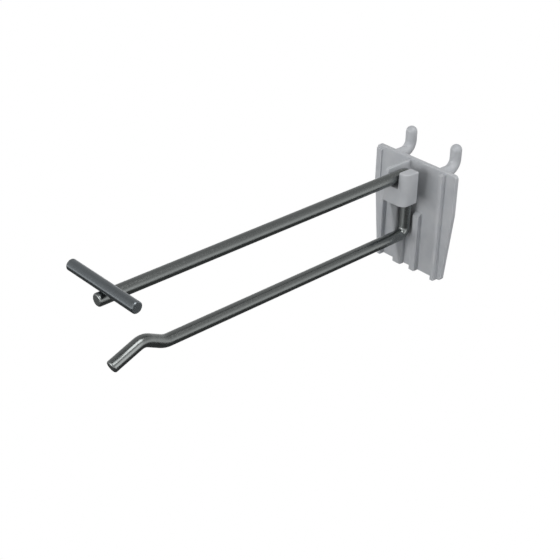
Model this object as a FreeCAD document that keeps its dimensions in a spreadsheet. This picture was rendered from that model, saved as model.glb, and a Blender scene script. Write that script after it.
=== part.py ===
"""A display hook for a 1/4 inch pegboard: a moulded back plate, a bent wire hook and a welded label bar.

Millimetres. +Z is up and the hook reaches out of the wall towards -Y. The origin lies on the back face
of the plate, where it bears on the board, midway between the two pegs and level with their shanks.
"""
import FreeCAD, Part
import math
import os

import Sketcher

Vector = FreeCAD.Vector

SIZES = [
    # Back plate, seen from the front
    ("plate_width", 45.0),
    ("plate_height", 51.4),
    ("plate_thickness", 1.9),
    ("plate_straight", 18.2),
    ("foot_width", 38.4),
    ("corner_radius", 1.6),
    ("edge_round", 0.4),
    # Ribs on the front of the plate
    ("rib_depth", 2.4),
    ("outer_rib_width", 2.1),
    ("outer_rib_spacing", 31.9),
    ("left_outer_rib_drop", 14.0),
    ("right_outer_rib_drop", 1.0),
    ("left_rib_width", 4.8),
    ("left_rib_inset", 2.5),
    ("right_rib_width", 3.3),
    ("right_rib_inset", 2.5),
    ("inner_rib_drop", 23.4),
    ("inner_rib_slope", 1.3),
    ("rib_round", 0.6),
    ("edge_land_width", 2.9),
    ("edge_land_depth", 0.6),
    ("edge_land_drop", 18.0),
    # Pegs behind the plate
    ("peg_spacing", 25.4),
    ("peg_diameter", 5.0),
    ("peg_drop", 2.6),
    ("peg_rise", 11.0),
    ("peg_elbow_radius", 4.6),
    ("peg_tip_flat", 0.1),
    ("board_space", 6.4),
    # Keeper that the wire snaps into, measured from the front face and the top edge of the plate
    ("keeper_web_half", 9.0),
    ("keeper_left_half", 4.8),
    ("keeper_right_half", 7.5),
    ("keeper_front_depth", 14.75),
    ("keeper_draft_angle", 4.0),
    ("keeper_floor_drop", 15.8),
    ("keeper_shelf_drop", 8.1),
    ("post_top_drop", 1.0),
    ("keeper_corner_round", 1.2),
    ("keeper_nose_round", 3.3),
    ("keeper_edge_round", 0.5),
    ("entry_gap", 6.3),
    ("seat_width", 3.0),
    ("side_clearance", 0.15),
    # Wire
    ("wire_diameter", 5.2),
    ("wire_stand_off", 1.5),
    ("bend_radius", 3.6),
    ("upper_arm_drop", 4.45),
    ("arm_spacing", 29.35),
    ("upper_arm_reach", 164.6),
    ("lower_arm_reach", 160.4),
    ("kink_setback", 24.4),
    ("crest_setback", 14.6),
    ("crest_height", 4.9),
    ("tip_fall", 0.9),
    ("kink_radius", 9.0),
    ("crest_radius", 6.0),
    ("wire_end_round", 0.8),
    # Label bar
    ("bar_diameter", 4.7),
    ("bar_length", 39.3),
    ("bar_setback", 3.25),
    ("bar_sink", 0.2),
    ("bar_end_chamfer", 0.4),
]

# Places that several features share, written with the sizes above
PLATE_TOP = "Sizes.peg_drop"
PLATE_FOOT = "Sizes.peg_drop - Sizes.plate_height"
TAPER_TOP = "Sizes.peg_drop - Sizes.plate_straight"
FRONT_FACE = "-Sizes.plate_thickness"
RUN_AXIS = "-Sizes.plate_thickness - Sizes.wire_stand_off - Sizes.wire_diameter / 2"
UPPER_AXIS = "Sizes.peg_drop - Sizes.upper_arm_drop"
LOWER_AXIS = UPPER_AXIS + " - Sizes.arm_spacing"
BAR_AXIS_Y = "-Sizes.plate_thickness - Sizes.upper_arm_reach + Sizes.bar_setback"
BAR_AXIS_Z = UPPER_AXIS + " + (Sizes.wire_diameter + Sizes.bar_diameter) / 2 - Sizes.bar_sink"

doc = FreeCAD.newDocument("pegboard_hook")
sheet = doc.addObject("Spreadsheet::Sheet", "Sizes")
for row, (alias, number) in enumerate(SIZES, start=1):
    sheet.set(f"A{row}", alias)
    sheet.set(f"B{row}", str(number))
    sheet.setAlias(f"B{row}", alias)
doc.recompute()


def value(formula):
    """Work out a formula of the sheet's sizes as a plain number."""
    result = sheet.evalExpression(formula.replace("Sizes.", ""))
    return float(getattr(result, "Value", result))


def new_body(name):
    body = doc.addObject("PartDesign::Body", name)
    body.Label = name
    return body


def new_sketch(body, name, role, offset="0"):
    """Lay a sketch on one of the body's origin planes, moved along that plane's normal."""
    plane = next(item for item in body.Origin.OriginFeatures if item.Role == role)
    sketch = body.newObject("Sketcher::SketchObject", name)
    sketch.AttachmentSupport = [(plane, "")]
    sketch.MapMode = "FlatFace"
    sketch.setExpression("AttachmentOffset.Base.z", offset)
    return sketch


def pin(sketch, geometry, end, x_formula, y_formula):
    """Tie one end of a curve to the place that two formulas give."""
    for kind, formula in (("DistanceX", x_formula), ("DistanceY", y_formula)):
        index = sketch.addConstraint(Sketcher.Constraint(kind, -1, 1, geometry, end, value(formula)))
        sketch.setExpression(f"Constraints[{index}]", formula)


def size_radius(sketch, geometry, formula):
    index = sketch.addConstraint(Sketcher.Constraint("Radius", geometry, value(formula)))
    sketch.setExpression(f"Constraints[{index}]", formula)


def draw_outline(sketch, corners):
    """Draw a closed outline of straight sides through corners given as pairs of formulas."""
    points = [Vector(value(x), value(y), 0) for x, y in corners]
    count = len(points)
    for index in range(count):
        following = (index + 1) % count
        sketch.addGeometry(Part.LineSegment(points[index], points[following]), False)
    for index in range(count):
        following = (index + 1) % count
        sketch.addConstraint(Sketcher.Constraint("Coincident", index, 2, following, 1))
        pin(sketch, index, 1, *corners[index])


def draw_circle(sketch, x_formula, y_formula, radius_formula):
    center = Vector(value(x_formula), value(y_formula), 0)
    sketch.addGeometry(Part.Circle(center, Vector(0, 0, 1), value(radius_formula)), False)
    pin(sketch, 0, 3, x_formula, y_formula)
    size_radius(sketch, 0, radius_formula)


def draw_bent_path(sketch, corners, radii):
    """Draw a path of straight runs through the corners, joined by tangent arcs of the given radii."""
    points = [Vector(value(x), value(y), 0) for x, y in corners]
    starts = [points[0]]
    ends = []
    bends = []
    for before, corner, after, formula in zip(points, points[1:], points[2:], radii):
        radius = value(formula)
        incoming = (corner - before).normalize()
        outgoing = (after - corner).normalize()
        trim = radius * math.tan(incoming.getAngle(outgoing) / 2)
        ends.append(corner - incoming * trim)
        starts.append(corner + outgoing * trim)
        turn = 1 if incoming.cross(outgoing).z > 0 else -1
        center = ends[-1] + Vector(-incoming.y, incoming.x, 0) * (radius * turn)
        bends.append((center, radius, turn))
    ends.append(points[-1])
    for start, end in zip(starts, ends):
        sketch.addGeometry(Part.LineSegment(start, end), False)
    for index, (center, radius, turn) in enumerate(bends):
        first, last = (ends[index], starts[index + 1]) if turn > 0 else (starts[index + 1], ends[index])
        first_angle = math.atan2(first.y - center.y, first.x - center.x)
        last_angle = math.atan2(last.y - center.y, last.x - center.x)
        if last_angle < first_angle:
            last_angle += 2 * math.pi
        circle = Part.Circle(center, Vector(0, 0, 1), radius)
        arc = sketch.addGeometry(Part.ArcOfCircle(circle, first_angle, last_angle), False)
        arc_in, arc_out = (1, 2) if turn > 0 else (2, 1)
        sketch.addConstraint(Sketcher.Constraint("Tangent", index, 2, arc, arc_in))
        sketch.addConstraint(Sketcher.Constraint("Tangent", arc, arc_out, index + 1, 1))
        size_radius(sketch, arc, radii[index])
        mark = sketch.addGeometry(Part.Point(points[index + 1]), True)
        sketch.addConstraint(Sketcher.Constraint("PointOnObject", mark, 1, index))
        sketch.addConstraint(Sketcher.Constraint("PointOnObject", mark, 1, index + 1))
        pin(sketch, mark, 1, *corners[index + 1])
    pin(sketch, 0, 1, *corners[0])
    pin(sketch, len(points) - 2, 2, *corners[-1])


def pad(body, name, sketch, length, both_ways=False):
    feature = body.newObject("PartDesign::Pad", name)
    feature.Profile = sketch
    feature.Midplane = both_ways
    feature.setExpression("Length", length)
    return feature


def pocket(body, name, sketch, length, reversed_way=False, both_ways=False):
    feature = body.newObject("PartDesign::Pocket", name)
    feature.Profile = sketch
    feature.Reversed = reversed_way
    feature.Midplane = both_ways
    feature.setExpression("Length", length)
    return feature


def pipe(body, name, profile, spine):
    feature = body.newObject("PartDesign::AdditivePipe", name)
    feature.Profile = profile
    feature.Spine = spine
    feature.Mode = "Frenet"
    return feature


def round_edges(body, name, base, wanted, radius, kind="PartDesign::Fillet"):
    """Round or chamfer those edges of a feature for which wanted(edge) holds."""
    names = [f"Edge{n}" for n, edge in enumerate(base.Shape.Edges, start=1) if wanted(edge)]
    feature = body.newObject(kind, name)
    feature.Base = (base, names)
    feature.setExpression("Radius" if kind == "PartDesign::Fillet" else "Size", radius)
    doc.recompute()
    return feature


def is_straight_along(edge, direction):
    """Tell whether an edge is a straight line parallel to a direction."""
    if not isinstance(edge.Curve, (Part.Line, Part.LineSegment)):
        return False
    return abs(abs(edge.tangentAt(edge.FirstParameter).dot(direction)) - 1) < 1e-6


def middle(edge):
    return edge.valueAt((edge.FirstParameter + edge.LastParameter) / 2)


def near(number, formula):
    return abs(number - value(formula)) < 1e-4


def build_back_plate():
    """The moulded plate with its ribs, its keeper for the wire and its two upturned pegs."""
    body = new_body("back_plate")

    # Plate: straight sides down to the taper, then a narrower foot
    outline = new_sketch(body, "plate_outline", "XZ_Plane")
    draw_outline(outline, [
        ("-Sizes.plate_width / 2", PLATE_TOP),
        ("Sizes.plate_width / 2", PLATE_TOP),
        ("Sizes.plate_width / 2", TAPER_TOP),
        ("Sizes.foot_width / 2", PLATE_FOOT),
        ("-Sizes.foot_width / 2", PLATE_FOOT),
        ("-Sizes.plate_width / 2", TAPER_TOP),
    ])
    plate = pad(body, "plate", outline, "Sizes.plate_thickness")
    doc.recompute()
    across = Vector(0, 1, 0)
    corners = round_edges(
        body, "plate_corners", plate,
        lambda edge: is_straight_along(edge, across)
        and (near(middle(edge).z, PLATE_TOP) or near(middle(edge).z, PLATE_FOOT)),
        "Sizes.corner_radius")
    round_edges(
        body, "plate_front_round", corners,
        lambda edge: near(middle(edge).y, FRONT_FACE),
        "Sizes.edge_round")

    # Outer ribs, one near each side, down to the foot. The left one starts under the keeper's bar
    reach = "Sizes.plate_thickness + Sizes.rib_depth"
    for side, sign in (("left", "-"), ("right", "")):
        middle_x = f"{sign}Sizes.outer_rib_spacing / 2"
        outer_top = PLATE_TOP + f" - Sizes.{side}_outer_rib_drop"
        rib_outline = new_sketch(body, f"{side}_outer_rib_outline", "XZ_Plane")
        draw_outline(rib_outline, [
            (middle_x + " - Sizes.outer_rib_width / 2", outer_top),
            (middle_x + " + Sizes.outer_rib_width / 2", outer_top),
            (middle_x + " + Sizes.outer_rib_width / 2", PLATE_FOOT),
            (middle_x + " - Sizes.outer_rib_width / 2", PLATE_FOOT),
        ])
        pad(body, f"{side}_outer_rib", rib_outline, reach)

    # A low land along the left edge, from the plate's corner to the height of the keeper's floor
    land_left = "-Sizes.plate_width / 2 + Sizes.edge_round"
    land_right = land_left + " + Sizes.edge_land_width"
    land_top = PLATE_TOP + " - Sizes.corner_radius"
    land_foot = PLATE_TOP + " - Sizes.edge_land_drop"
    land_outline = new_sketch(body, "edge_land_outline", "XZ_Plane")
    draw_outline(land_outline, [
        (land_left, land_top),
        (land_right, land_top),
        (land_right, land_foot),
        (land_left, land_foot),
    ])
    pad(body, "edge_land", land_outline, "Sizes.plate_thickness + Sizes.edge_land_depth")

    # Inner ribs, which start under the keeper with a sloped top and flank the wire
    rib_top = PLATE_TOP + " - Sizes.inner_rib_drop"
    profile = [
        ("-Sizes.plate_thickness / 2", rib_top),
        (FRONT_FACE, rib_top),
        (f"-({reach})", rib_top + " - Sizes.inner_rib_slope"),
        (f"-({reach})", PLATE_FOOT),
        ("-Sizes.plate_thickness / 2", PLATE_FOOT),
    ]
    inner_ribs = (
        ("left_inner_rib", "-Sizes.left_rib_inset - Sizes.left_rib_width", "Sizes.left_rib_width"),
        ("right_inner_rib", "Sizes.right_rib_inset", "Sizes.right_rib_width"),
    )
    for name, place, width in inner_ribs:
        rib_profile = new_sketch(body, name + "_profile", "YZ_Plane", place)
        draw_outline(rib_profile, profile)
        rib = pad(body, name, rib_profile, width)
    doc.recompute()
    round_edges(
        body, "rib_rounds", rib,
        lambda edge: is_straight_along(edge, Vector(0, 0, 1)) and near(middle(edge).y, f"-({reach})"),
        "Sizes.rib_round")

    build_keeper(body)
    build_pegs(body)
    return body


def build_keeper(body):
    """A bar in front of the wire's upright run, carried by a web at the left and open at the right.

    Its right end has a lip, which the wire snaps past when it is pushed in over a raised seat, and a
    post, which stands beside the upper arm and keeps it from swinging.
    """
    inner_face = RUN_AXIS + " - Sizes.wire_diameter / 2"
    lip_face = FRONT_FACE + " - Sizes.entry_gap"
    post_side = "Sizes.wire_diameter / 2 + Sizes.side_clearance"
    floor = PLATE_TOP + " - Sizes.keeper_floor_drop"
    shelf = PLATE_TOP + " - Sizes.keeper_shelf_drop"
    top = PLATE_TOP + " - Sizes.post_top_drop"
    height = "Sizes.keeper_floor_drop - Sizes.post_top_drop"
    inside_plate = "-Sizes.plate_thickness / 2"
    front = FRONT_FACE + " - Sizes.keeper_front_depth"
    plan = new_sketch(body, "keeper_plan", "XY_Plane", floor)
    draw_outline(plan, [
        ("Sizes.keeper_right_half", front),
        ("Sizes.keeper_right_half", lip_face),
        (post_side, lip_face),
        (post_side, inner_face),
        (f"-({post_side})", inner_face),
        (f"-({post_side})", inside_plate),
        ("-Sizes.keeper_web_half", inside_plate),
        ("-Sizes.keeper_left_half", front),
    ])
    block = pad(body, "keeper_block", plan, height)
    doc.recompute()

    # The front leans back towards the top, as the mould draws it
    faces = list(enumerate(block.Shape.Faces, start=1))
    front_face = next(f"Face{n}" for n, face in faces if near(face.BoundBox.YMax, front))
    floor_face = next(f"Face{n}" for n, face in faces if near(face.BoundBox.ZMax, floor))
    draft = body.newObject("PartDesign::Draft", "keeper_draft")
    draft.Base = (block, [front_face])
    draft.NeutralPlane = (block, [floor_face])
    draft.setExpression("Angle", "Sizes.keeper_draft_angle")
    doc.recompute()

    # A low seat on the plate bears on the back of the wire
    seat_outline = new_sketch(body, "wire_seat_outline", "XY_Plane", floor)
    draw_outline(seat_outline, [
        ("-Sizes.seat_width / 2", inside_plate),
        ("Sizes.seat_width / 2", inside_plate),
        ("Sizes.seat_width / 2", FRONT_FACE + " - Sizes.wire_stand_off"),
        ("-Sizes.seat_width / 2", FRONT_FACE + " - Sizes.wire_stand_off"),
    ])
    pad(body, "wire_seat", seat_outline, "Sizes.keeper_floor_drop - Sizes.keeper_shelf_drop")

    # Everything left of the post is cut down to the shelf under the upper arm
    cut_outline = new_sketch(body, "shelf_outline", "XY_Plane", shelf)
    beyond_front = front + " - Sizes.wire_diameter"
    far_left = "-(Sizes.keeper_web_half + Sizes.outer_rib_spacing / 2 - Sizes.outer_rib_width / 2) / 2"
    draw_outline(cut_outline, [
        (far_left, FRONT_FACE),
        (far_left, beyond_front),
        (post_side, beyond_front),
        (post_side, FRONT_FACE),
    ])
    cut = pocket(body, "shelf", cut_outline, height, reversed_way=True)
    doc.recompute()

    def is_front_corner(edge):
        upright = edge.BoundBox.ZLength > 2 and edge.BoundBox.XLength < 1
        return upright and edge.BoundBox.YMax < value(inner_face) - 1

    left_corners = round_edges(
        body, "keeper_left_corners", cut,
        lambda edge: is_front_corner(edge) and edge.BoundBox.XMax < value(post_side) + 1,
        "Sizes.keeper_corner_round")
    corners = round_edges(
        body, "keeper_nose", left_corners,
        lambda edge: is_front_corner(edge) and near(middle(edge).x, "Sizes.keeper_right_half"),
        "Sizes.keeper_nose_round")
    round_edges(
        body, "keeper_edges", corners,
        lambda edge: edge.BoundBox.ZLength < 1
        and edge.BoundBox.YMin < value(inner_face) - 1
        and edge.BoundBox.YMax < value(FRONT_FACE) - 1
        and (near(edge.BoundBox.ZMin, floor) or edge.BoundBox.ZMin > value(top) - 1),
        "Sizes.keeper_edge_round")


def build_pegs(body):
    """Two round pegs that pass through the board's holes and turn up behind it, with domed tips."""
    peg_axis = "Sizes.board_space + Sizes.peg_diameter / 2"
    root = "-Sizes.plate_thickness / 2"
    side = "Sizes.peg_spacing / 2"
    spine = new_sketch(body, "peg_spine", "YZ_Plane", side)
    draw_bent_path(spine, [(root, "0"), (peg_axis, "0"), (peg_axis, "Sizes.peg_rise")], ["Sizes.peg_elbow_radius"])
    section = new_sketch(body, "peg_section", "XZ_Plane", "Sizes.plate_thickness / 2")
    draw_circle(section, side, "0", "Sizes.peg_diameter / 2")
    peg = pipe(body, "peg", section, spine)
    doc.recompute()
    pair = body.newObject("PartDesign::Mirrored", "peg_pair")
    pair.Originals = [peg]
    mirror = next(item for item in body.Origin.OriginFeatures if item.Role == "YZ_Plane")
    pair.MirrorPlane = (mirror, [""])
    body.Tip = pair
    doc.recompute()
    round_edges(
        body, "peg_domes", pair,
        lambda edge: near(middle(edge).z, "Sizes.peg_rise"),
        "Sizes.peg_diameter / 2 - Sizes.peg_tip_flat")


def build_hook_wire():
    """One steel wire: upper arm, upright run in the keeper, and lower arm with its raised crest and tip."""
    body = new_body("hook_wire")
    upper_end = FRONT_FACE + " - Sizes.upper_arm_reach"
    lower_end = FRONT_FACE + " - Sizes.lower_arm_reach"
    spine = new_sketch(body, "wire_spine", "YZ_Plane")
    draw_bent_path(
        spine,
        [
            (upper_end, UPPER_AXIS),
            (RUN_AXIS, UPPER_AXIS),
            (RUN_AXIS, LOWER_AXIS),
            (lower_end + " + Sizes.kink_setback", LOWER_AXIS),
            (lower_end + " + Sizes.crest_setback", LOWER_AXIS + " + Sizes.crest_height"),
            (lower_end, LOWER_AXIS + " - Sizes.tip_fall"),
        ],
        ["Sizes.bend_radius", "Sizes.bend_radius", "Sizes.kink_radius", "Sizes.crest_radius"])
    section = new_sketch(body, "wire_section", "XZ_Plane", f"-({upper_end})")
    draw_circle(section, "0", UPPER_AXIS, "Sizes.wire_diameter / 2")
    wire = pipe(body, "wire", section, spine)
    doc.recompute()
    ends = round_edges(
        body, "wire_ends", wire,
        lambda edge: edge.isClosed()
        and edge.BoundBox.YMin < value(lower_end + " + Sizes.wire_diameter / 2"),
        "Sizes.wire_end_round")

    # The label bar is welded into a shallow seat across the top of the upper arm
    seat_outline = new_sketch(body, "bar_seat_outline", "YZ_Plane")
    draw_circle(seat_outline, BAR_AXIS_Y, BAR_AXIS_Z, "Sizes.bar_diameter / 2")
    pocket(body, "bar_seat", seat_outline, "2 * Sizes.wire_diameter", both_ways=True)
    doc.recompute()
    return body


def build_label_bar():
    """A straight round bar across the front end of the upper arm, which carries a label holder."""
    body = new_body("label_bar")
    section = new_sketch(body, "bar_section", "YZ_Plane")
    draw_circle(section, BAR_AXIS_Y, BAR_AXIS_Z, "Sizes.bar_diameter / 2")
    bar = pad(body, "bar", section, "Sizes.bar_length", both_ways=True)
    doc.recompute()
    round_edges(body, "bar_ends", bar, lambda edge: edge.isClosed(), "Sizes.bar_end_chamfer",
                kind="PartDesign::Chamfer")
    return body


pieces = [build_back_plate(), build_hook_wire(), build_label_bar()]
doc.recompute()

for item in doc.Objects:
    if "Invalid" in item.State or "Error" in item.State:
        raise RuntimeError(f"{item.Name} is {item.State}")
for piece in pieces:
    if piece.Shape.isNull() or not piece.Shape.isValid() or len(piece.Shape.Solids) != 1:
        raise RuntimeError(f"{piece.Label} is not one sound solid")

os.makedirs("parts", exist_ok=True)
for piece in pieces:
    piece.Shape.exportStep(f"parts/{piece.Label}.step")
    box = piece.Shape.BoundBox
    print(f"{piece.Label}: {piece.Shape.Volume:.1f} mm3, X {box.XMin:.2f} to {box.XMax:.2f},"
          f" Y {box.YMin:.2f} to {box.YMax:.2f}, Z {box.ZMin:.2f} to {box.ZMax:.2f}")
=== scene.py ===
"""The looks of a pegboard display hook: moulded back plate, bent plated wire and welded label bar."""

import math

import bmesh
import bpy
from mathutils import Matrix, Vector


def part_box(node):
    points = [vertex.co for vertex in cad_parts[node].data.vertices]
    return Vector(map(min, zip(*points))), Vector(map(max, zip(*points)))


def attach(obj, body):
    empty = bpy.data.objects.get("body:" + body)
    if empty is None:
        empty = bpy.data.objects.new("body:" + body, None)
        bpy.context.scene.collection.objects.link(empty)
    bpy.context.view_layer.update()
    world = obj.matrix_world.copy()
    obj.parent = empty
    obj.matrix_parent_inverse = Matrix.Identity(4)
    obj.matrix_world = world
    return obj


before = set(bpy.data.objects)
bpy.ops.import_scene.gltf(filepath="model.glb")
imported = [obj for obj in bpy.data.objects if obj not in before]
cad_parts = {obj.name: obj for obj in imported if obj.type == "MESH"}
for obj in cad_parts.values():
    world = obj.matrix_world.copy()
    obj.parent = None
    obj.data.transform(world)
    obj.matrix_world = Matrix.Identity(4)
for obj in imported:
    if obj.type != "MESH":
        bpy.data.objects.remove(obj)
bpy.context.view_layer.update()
scene = bpy.context.scene

# Back plate, with its pegs, ribs and keeper.
# Light grey polypropylene, injection moulded in one piece, so it is satin, slightly cloudy where
# it is thin or round, and faintly uneven where the plastic cooled against the mould.
cloud_width = 0.006
grain_width = 0.00025
grain_depth = 0.00003
# Nearly all of a noise pattern lies between these two values
noise_low = 0.3
noise_high = 0.7


def linear(hex_colour):
    """Turn an sRGB hex colour such as "#a0a4a8" into the linear RGBA that shaders use."""
    channels = [int(hex_colour[start:start + 2], 16) / 255 for start in (1, 3, 5)]
    return [c / 12.92 if c <= 0.04045 else ((c + 0.055) / 1.055) ** 2.4 for c in channels] + [1.0]


def add_node(material, kind, settings=(), links=()):
    """Add a node to a material or the world, with its settings and the sockets that feed it.

    A setting is an input or a property. An input goes by its name, or by its place where names repeat.
    """
    node = material.node_tree.nodes.new(kind)
    for key, value in dict(settings).items():
        if isinstance(key, int) or key in node.inputs:
            node.inputs[key].default_value = value
        else:
            setattr(node, key, value)
    for key, socket in dict(links).items():
        material.node_tree.links.new(socket, node.inputs[key])
    return node


def new_material(name):
    """Start a material that has no nodes yet."""
    material = bpy.data.materials.new(name)
    material.use_nodes = True
    material.node_tree.nodes.clear()
    return material


def give_finish(piece, material):
    """Cover a piece with one material."""
    piece.data.materials.clear()
    piece.data.materials.append(material)


polypropylene = new_material("moulded grey polypropylene")
place = add_node(polypropylene, "ShaderNodeTexCoord")
# Soft cloudiness of the plastic, in patches of about 6 mm that are also a little more or less glossy
clouds = add_node(polypropylene, "ShaderNodeTexNoise",
                  {"Scale": 1 / cloud_width, "Detail": 3.0, "Roughness": 0.5},
                  {"Vector": place.outputs["Object"]})
cloud_tone = add_node(polypropylene, "ShaderNodeValToRGB", links={"Fac": clouds.outputs["Fac"]})
for stop, position, shade in zip(cloud_tone.color_ramp.elements,
                                 (noise_low, noise_high), ("#b3b6ba", "#bdbfc2")):
    stop.position = position
    stop.color = linear(shade)
gloss = add_node(polypropylene, "ShaderNodeMapRange",
                 {"From Min": noise_low, "From Max": noise_high, "To Min": 0.42, "To Max": 0.52},
                 {"Value": clouds.outputs["Fac"]})
# The mould's spark-eroded grain is about 0.05 mm; it is drawn at 0.25 mm so that it shows at all
grain = add_node(polypropylene, "ShaderNodeTexNoise",
                 {"Scale": 1 / grain_width, "Detail": 2.0, "Roughness": 0.6},
                 {"Vector": place.outputs["Object"]})
grain_bump = add_node(polypropylene, "ShaderNodeBump", {"Strength": 0.12, "Distance": grain_depth},
                      {"Height": grain.outputs["Fac"]})
# Light enters the plastic by about 1.6 mm
plastic = add_node(polypropylene, "ShaderNodeBsdfPrincipled",
                   {"IOR": 1.49, "Subsurface Weight": 0.12, "Subsurface Scale": 1.0,
                    "Subsurface Radius": (0.0016, 0.0016, 0.0017)},
                   {"Base Color": cloud_tone.outputs["Color"], "Roughness": gloss.outputs["Result"],
                    "Normal": grain_bump.outputs["Normal"]})
add_node(polypropylene, "ShaderNodeOutputMaterial", links={"Surface": plastic.outputs["BSDF"]})
give_finish(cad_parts["back_plate"], polypropylene)

# Side wall of the keeper, moulded in one with the back plate.
# A wall close to the left of the wire. It stands as high as the post, closes the keeper on that side
# and runs down to the plate's foot as a fin that tapers. The mould rounds its free edges.
plate_face = -0.0019
plate_top = 0.0026
plate_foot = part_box("back_plate")[0][2]
wire_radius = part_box("hook_wire")[1][0]
wire_clearance = 0.00015
wall_thickness = 0.0015
# Drops below the plate's top edge
wall_top_drop = 0.0010
keeper_floor_drop = 0.0158
# Depths in front of the plate's face. The first puts the wall 0.05 mm inside the keeper's front
keeper_depth = 0.0147
fin_depth = 0.0117
rib_depth = 0.0024
# How far the wall's back is sunk in the plate
wall_sink = 0.0003
front_lean = math.radians(4.0)
corner_round = 0.0010
edge_round = 0.0004
# Free edges that turn by more than hard_turn are rounded over, and any that still turn by more than
# crisp_turn are shaded as crisp edges
hard_turn = math.radians(30)
crisp_turn = math.radians(35)
hair = 0.000001

wall_near = -(wire_radius + wire_clearance)
wall_far = wall_near - wall_thickness
wall_back = plate_face + wall_sink
wall_top = plate_top - wall_top_drop
keeper_floor = plate_top - keeper_floor_drop
keeper_front = plate_face - keeper_depth
top_front = keeper_front + (wall_top - keeper_floor) * math.tan(front_lean)
wall_profile = [(wall_back, wall_top), (top_front, wall_top), (keeper_front, keeper_floor),
                (plate_face - fin_depth, keeper_floor), (plate_face - rib_depth, plate_foot),
                (wall_back, plate_foot)]
wall_form = bmesh.new()
near_ring = [wall_form.verts.new((wall_near, y, z)) for y, z in wall_profile]
far_ring = [wall_form.verts.new((wall_far, y, z)) for y, z in wall_profile]
wall_form.faces.new(near_ring)
wall_form.faces.new(reversed(far_ring))
for index in range(len(wall_profile)):
    following = (index + 1) % len(wall_profile)
    wall_form.faces.new((near_ring[following], near_ring[index], far_ring[index], far_ring[following]))
corner = wall_profile.index((top_front, wall_top))
front_corner = wall_form.edges.get((near_ring[corner], far_ring[corner]))
bmesh.ops.bevel(wall_form, geom=[front_corner], offset=corner_round, segments=5, profile=0.5,
                affect="EDGES")
# The edges that lie within a hair of the wall's back are sunk in the plate and stay as they are
free_edges = [edge for edge in wall_form.edges
              if edge.calc_face_angle() > hard_turn
              and min(vert.co.y for vert in edge.verts) < wall_back - hair]
bmesh.ops.bevel(wall_form, geom=free_edges, offset=edge_round, segments=3, profile=0.5,
                affect="EDGES", clamp_overlap=True)
bmesh.ops.recalc_face_normals(wall_form, faces=wall_form.faces)
wall_mesh = bpy.data.meshes.new("keeper_side_wall")
wall_form.to_mesh(wall_mesh)
wall_form.free()
for face in wall_mesh.polygons:
    face.use_smooth = True
wall_mesh.set_sharp_from_angle(angle=crisp_turn)
side_wall = bpy.data.objects.new("keeper_side_wall", wall_mesh)
scene.collection.objects.link(side_wall)
give_finish(side_wall, polypropylene)
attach(side_wall, "root")

# Hook wire: upper arm, upright run and lower arm with its raised tip, snapped into the keeper.
# One length of drawn steel wire, bent cold and then zinc-nickel plated, so it is a dark glossy grey
# with faint drawing lines along it and a fine mottle in the plating.
line_spacing = 0.0002
line_length = 0.008
line_depth = 0.00002
mottle_width = 0.0007
# The upright run lies between these two heights, and behind this depth in Y
upper_bend = -0.0055
lower_bend = -0.0275
upright_front = -0.012


def line_scale(run):
    """Scales of the noise in X, Y and Z that draw its lines along the axis in which the wire runs."""
    return [1 / line_length if axis == run else 1 / line_spacing for axis in "XYZ"]


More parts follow.
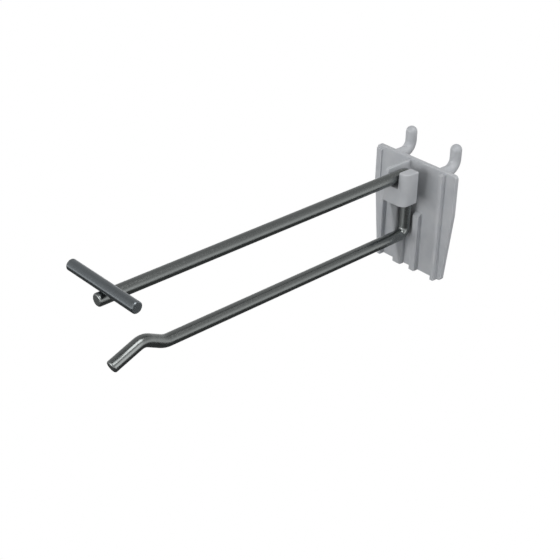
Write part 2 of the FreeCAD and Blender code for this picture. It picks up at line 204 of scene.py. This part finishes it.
def plated_steel(name, dark, light, run, with_upright=False):
    """Plated drawn wire that runs along one axis and has its ends cut square across it.

    Where it has an upright run, the drawing lines turn down with it between the two bends.
    """
    material = new_material(name)
    spot = add_node(material, "ShaderNodeTexCoord")
    stretch = add_node(material, "ShaderNodeMapping", {"Scale": line_scale(run)},
                       {"Vector": spot.outputs["Object"]})
    line_place = stretch.outputs["Vector"]
    if with_upright:
        turned = add_node(material, "ShaderNodeMapping", {"Scale": line_scale("Z")},
                          {"Vector": spot.outputs["Object"]})
        axes = add_node(material, "ShaderNodeSeparateXYZ", links={"Vector": spot.outputs["Object"]})
        below_upper = add_node(material, "ShaderNodeMath", {"operation": "LESS_THAN", 1: upper_bend},
                               {0: axes.outputs["Z"]})
        above_lower = add_node(material, "ShaderNodeMath", {"operation": "GREATER_THAN", 1: lower_bend},
                               {0: axes.outputs["Z"]})
        between = add_node(material, "ShaderNodeMath", {"operation": "MULTIPLY"},
                           {0: below_upper.outputs["Value"], 1: above_lower.outputs["Value"]})
        near_plate = add_node(material, "ShaderNodeMath",
                              {"operation": "GREATER_THAN", 1: upright_front},
                              {0: axes.outputs["Y"]})
        upright = add_node(material, "ShaderNodeMath", {"operation": "MULTIPLY"},
                           {0: between.outputs["Value"], 1: near_plate.outputs["Value"]})
        # A Mix node takes vectors at inputs 4 and 5 and gives the one it picks at output 1
        along = add_node(material, "ShaderNodeMix", {"data_type": "VECTOR"},
                         {"Factor": upright.outputs["Value"],
                          4: stretch.outputs["Vector"], 5: turned.outputs["Vector"]})
        line_place = along.outputs[1]
    # Real drawing lines are finer than 0.1 mm; these are 0.2 mm apart and 8 mm long so that they show
    lines = add_node(material, "ShaderNodeTexNoise", {"Scale": 1.0, "Detail": 3.0, "Roughness": 0.6},
                     {"Vector": line_place})
    # Mottle of the plating, in grains of about 0.7 mm
    mottle = add_node(material, "ShaderNodeTexNoise",
                      {"Scale": 1 / mottle_width, "Detail": 2.0, "Roughness": 0.5},
                      {"Vector": spot.outputs["Object"]})
    both = add_node(material, "ShaderNodeMath", {"operation": "ADD"},
                    {0: lines.outputs["Fac"], 1: mottle.outputs["Fac"]})
    tone = add_node(material, "ShaderNodeMapRange", {"From Min": 0.7, "From Max": 1.3},
                    {"Value": both.outputs["Value"]})
    colour = add_node(material, "ShaderNodeValToRGB", links={"Fac": tone.outputs["Result"]})
    for stop, shade in zip(colour.color_ramp.elements, (dark, light)):
        stop.color = linear(shade)
    rough = add_node(material, "ShaderNodeMapRange",
                     {"From Min": noise_low, "From Max": noise_high, "To Min": 0.22, "To Max": 0.28},
                     {"Value": mottle.outputs["Fac"]})
    # The cut ends face along the wire, and are duller than its drawn surface
    facing = add_node(material, "ShaderNodeSeparateXYZ", links={"Vector": spot.outputs["Normal"]})
    squareness = add_node(material, "ShaderNodeMath", {"operation": "ABSOLUTE"}, {0: facing.outputs[run]})
    dull = add_node(material, "ShaderNodeMapRange", {"From Min": 0.75, "From Max": 0.9, "To Max": 0.42},
                    {"Value": squareness.outputs["Value"], "To Min": rough.outputs["Result"]})
    bump = add_node(material, "ShaderNodeBump", {"Strength": 0.08, "Distance": line_depth},
                    {"Height": lines.outputs["Fac"]})
    metal = add_node(material, "ShaderNodeBsdfPrincipled", {"Metallic": 1.0},
                     {"Base Color": colour.outputs["Color"], "Roughness": dull.outputs["Result"],
                      "Normal": bump.outputs["Normal"]})
    add_node(material, "ShaderNodeOutputMaterial", links={"Surface": metal.outputs["BSDF"]})
    return material


give_finish(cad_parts["hook_wire"],
            plated_steel("zinc-nickel plated steel wire", "#7b7f7e", "#878a89", "Y", with_upright=True))

# Label bar: a plain round rod, resistance welded across the front of the upper arm.
# The same steel and plating, with its drawing lines across the hook and a slightly bluer tone.
give_finish(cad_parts["label_bar"],
            plated_steel("zinc-nickel plated steel rod", "#797e82", "#848a8d", "X"))

# Floor and card, far below the hook, which hangs in free air.
# The floor's matt white paint has no gloss, and looks pure white to the camera. A round card of dark
# grey paper just above it, out of the camera's sight, is the dark line along the wire's underside.
floor_depth = -1.26
floor_size = 60.0
card_radius = 3.9
card_lift = 0.06
bpy.ops.mesh.primitive_plane_add(size=floor_size, location=(0, 0, floor_depth))
floor = bpy.context.object
floor.name = "pale_floor"
floor_paint = new_material("matt white floor paint")
paint = add_node(floor_paint, "ShaderNodeBsdfPrincipled",
                 {"Base Color": linear("#e6e6e6"), "Roughness": 0.9})
white = add_node(floor_paint, "ShaderNodeEmission", {"Color": (1, 1, 1, 1), "Strength": 1.0})
seen = add_node(floor_paint, "ShaderNodeLightPath")
direct = add_node(floor_paint, "ShaderNodeMath", {"operation": "MAXIMUM"},
                  {0: seen.outputs["Is Camera Ray"], 1: seen.outputs["Is Glossy Ray"]})
direct_or_through = add_node(floor_paint, "ShaderNodeMath", {"operation": "MAXIMUM"},
                             {0: direct.outputs["Value"], 1: seen.outputs["Is Transmission Ray"]})
floor_mix = add_node(floor_paint, "ShaderNodeMixShader",
                     links={"Fac": direct_or_through.outputs["Value"],
                            1: paint.outputs["BSDF"], 2: white.outputs["Emission"]})
add_node(floor_paint, "ShaderNodeOutputMaterial", links={"Surface": floor_mix.outputs["Shader"]})
give_finish(floor, floor_paint)

bpy.ops.mesh.primitive_circle_add(vertices=64, radius=card_radius, fill_type="NGON",
                                  location=(0, 0, floor_depth + card_lift))
dark_card = bpy.context.object
dark_card.name = "dark_card"
dark_card.visible_camera = False
card_paper = new_material("dark grey card")
paper = add_node(card_paper, "ShaderNodeBsdfPrincipled",
                 {"Base Color": linear("#5a5c5c"), "Roughness": 0.9})
add_node(card_paper, "ShaderNodeOutputMaterial", links={"Surface": paper.outputs["BSDF"]})
give_finish(dark_card, card_paper)

# Room, a pale studio around the hook that is white to the camera.
# The walls that the wire mirrors darken upwards, and on the left, where the label bar mirrors them, they
# are dimmer. The plastic gets the light of the same walls at a lower level.
wall_stops = [(0.0, 1.0), (0.12, 1.0), (0.32, 0.7), (0.5, 0.52), (0.75, 0.4)]
world = bpy.data.worlds.new("studio room")
scene.world = world
world.use_nodes = True
world.node_tree.nodes.clear()
around = add_node(world, "ShaderNodeTexCoord")
heading = add_node(world, "ShaderNodeSeparateXYZ", links={"Vector": around.outputs["Generated"]})
walls = add_node(world, "ShaderNodeValToRGB", links={"Fac": heading.outputs["Z"]})
walls.color_ramp.interpolation = "EASE"
for step, (position, brightness) in enumerate(wall_stops):
    # A new ramp has two stops already
    if step < 2:
        stop = walls.color_ramp.elements[step]
        stop.position = position
    else:
        stop = walls.color_ramp.elements.new(position)
    stop.color = (brightness, brightness, brightness, 1)
side_glow = add_node(world, "ShaderNodeMapRange",
                     {"From Min": -0.7, "From Max": 0.0, "To Min": 0.5, "To Max": 1.0},
                     {"Value": heading.outputs["X"]})
ceiling_glow = add_node(world, "ShaderNodeMapRange",
                        {"From Min": 0.15, "From Max": 0.55, "To Max": 1.0},
                        {"Value": heading.outputs["Z"], "To Min": side_glow.outputs["Result"]})
room = add_node(world, "ShaderNodeBackground",
                links={"Color": walls.outputs["Color"], "Strength": ceiling_glow.outputs["Result"]})
dim_room = add_node(world, "ShaderNodeBackground", {"Strength": 0.40},
                    {"Color": walls.outputs["Color"]})
background = add_node(world, "ShaderNodeBackground", {"Color": (1, 1, 1, 1), "Strength": 1.0})
ray = add_node(world, "ShaderNodeLightPath")
room_mix = add_node(world, "ShaderNodeMixShader",
                    links={"Fac": ray.outputs["Is Glossy Ray"],
                           1: dim_room.outputs["Background"], 2: room.outputs["Background"]})
sky_mix = add_node(world, "ShaderNodeMixShader",
                   links={"Fac": ray.outputs["Is Camera Ray"],
                          1: room_mix.outputs["Shader"], 2: background.outputs["Background"]})
add_node(world, "ShaderNodeOutputWorld", links={"Surface": sky_mix.outputs["Shader"]})

# Soft boxes, eight large lamps that all stand 2.7 m from the middle of the plate.
# Four of them show as streaks in the plated wire, and the other four light the plastic alone.
lamp_distance = 2.7
lamp_target = Vector((0, -0.01, -0.02))


def add_softbox(name, direction, width, height, power, mirrored=True):
    """A soft box that faces the plate, with its width and height in metres and its power in watts.

    One that is not mirrored lights the plastic without a streak in the plated wire.
    """
    lamp = bpy.data.lights.new(name, "AREA")
    lamp.shape = "RECTANGLE"
    lamp.size = width
    lamp.size_y = height
    lamp.energy = power
    holder = bpy.data.objects.new(name, lamp)
    scene.collection.objects.link(holder)
    holder.location = lamp_target + Vector(direction).normalized() * lamp_distance
    holder.rotation_euler = (lamp_target - holder.location).to_track_quat("-Z", "Y").to_euler()
    holder.visible_camera = False
    holder.visible_glossy = mirrored


add_softbox("key_softbox", (0.5, -0.02, 1.0), 1.5, 1.5, 26.0)
add_softbox("high_softbox", (0.55, -1.0, 1.2), 1.2, 1.2, 7.0)
add_softbox("front_softbox", (-0.14, -1.0, 0.18), 1.7, 1.5, 35.0)
add_softbox("left_softbox", (-1.9, -1.0, -0.05), 1.2, 1.6, 7.0, mirrored=False)
add_softbox("rear_strip", (-1.0, 0.3, 0.2), 0.8, 1.6, 22.0, mirrored=False)
add_softbox("right_strip", (1.0, 0.15, 0.1), 0.75, 2.2, 5.5)
add_softbox("right_softbox", (1.0, -0.15, 0.15), 1.2, 1.8, 9.0, mirrored=False)
add_softbox("rear_softbox", (0.5, 0.75, 0.65), 1.0, 1.0, 18.0, mirrored=False)

# The photograph's camera, found from the 25.4 mm spacing of the pegs and from the straight edges.
# Its focal length, and the place where its lens's axis meets the square photograph, are in pixels.
photo_side = 560
focal_length = 1224.694
lens_x = 295.528
lens_y = 277.907
film_width = 36.0
camera_place = (0.309608, -0.367515, 0.221438)
azimuth, elevation, roll = (math.radians(angle) for angle in (46.229, 30.318, 1.540))
forward = Vector((-math.sin(azimuth) * math.cos(elevation), math.cos(azimuth) * math.cos(elevation),
                  -math.sin(elevation)))
level = Vector((math.cos(azimuth), math.sin(azimuth), 0))
upward = level.cross(forward)
right = level * math.cos(roll) + upward * math.sin(roll)
up = upward * math.cos(roll) - level * math.sin(roll)
camera_data = bpy.data.cameras.new("photo_camera")
camera_data.sensor_width = film_width
camera_data.lens = focal_length * film_width / photo_side
camera_data.shift_x = (photo_side / 2 - lens_x) / photo_side
camera_data.shift_y = (lens_y - photo_side / 2) / photo_side
camera_data.clip_start = 0.01
camera_data.clip_end = 100.0
camera = bpy.data.objects.new("photo_camera", camera_data)
scene.collection.objects.link(camera)
turn = Matrix((right, up, -forward)).transposed().to_4x4()
camera.matrix_world = Matrix.Translation(camera_place) @ turn
scene.camera = camera

scene.view_settings.view_transform = "Standard"
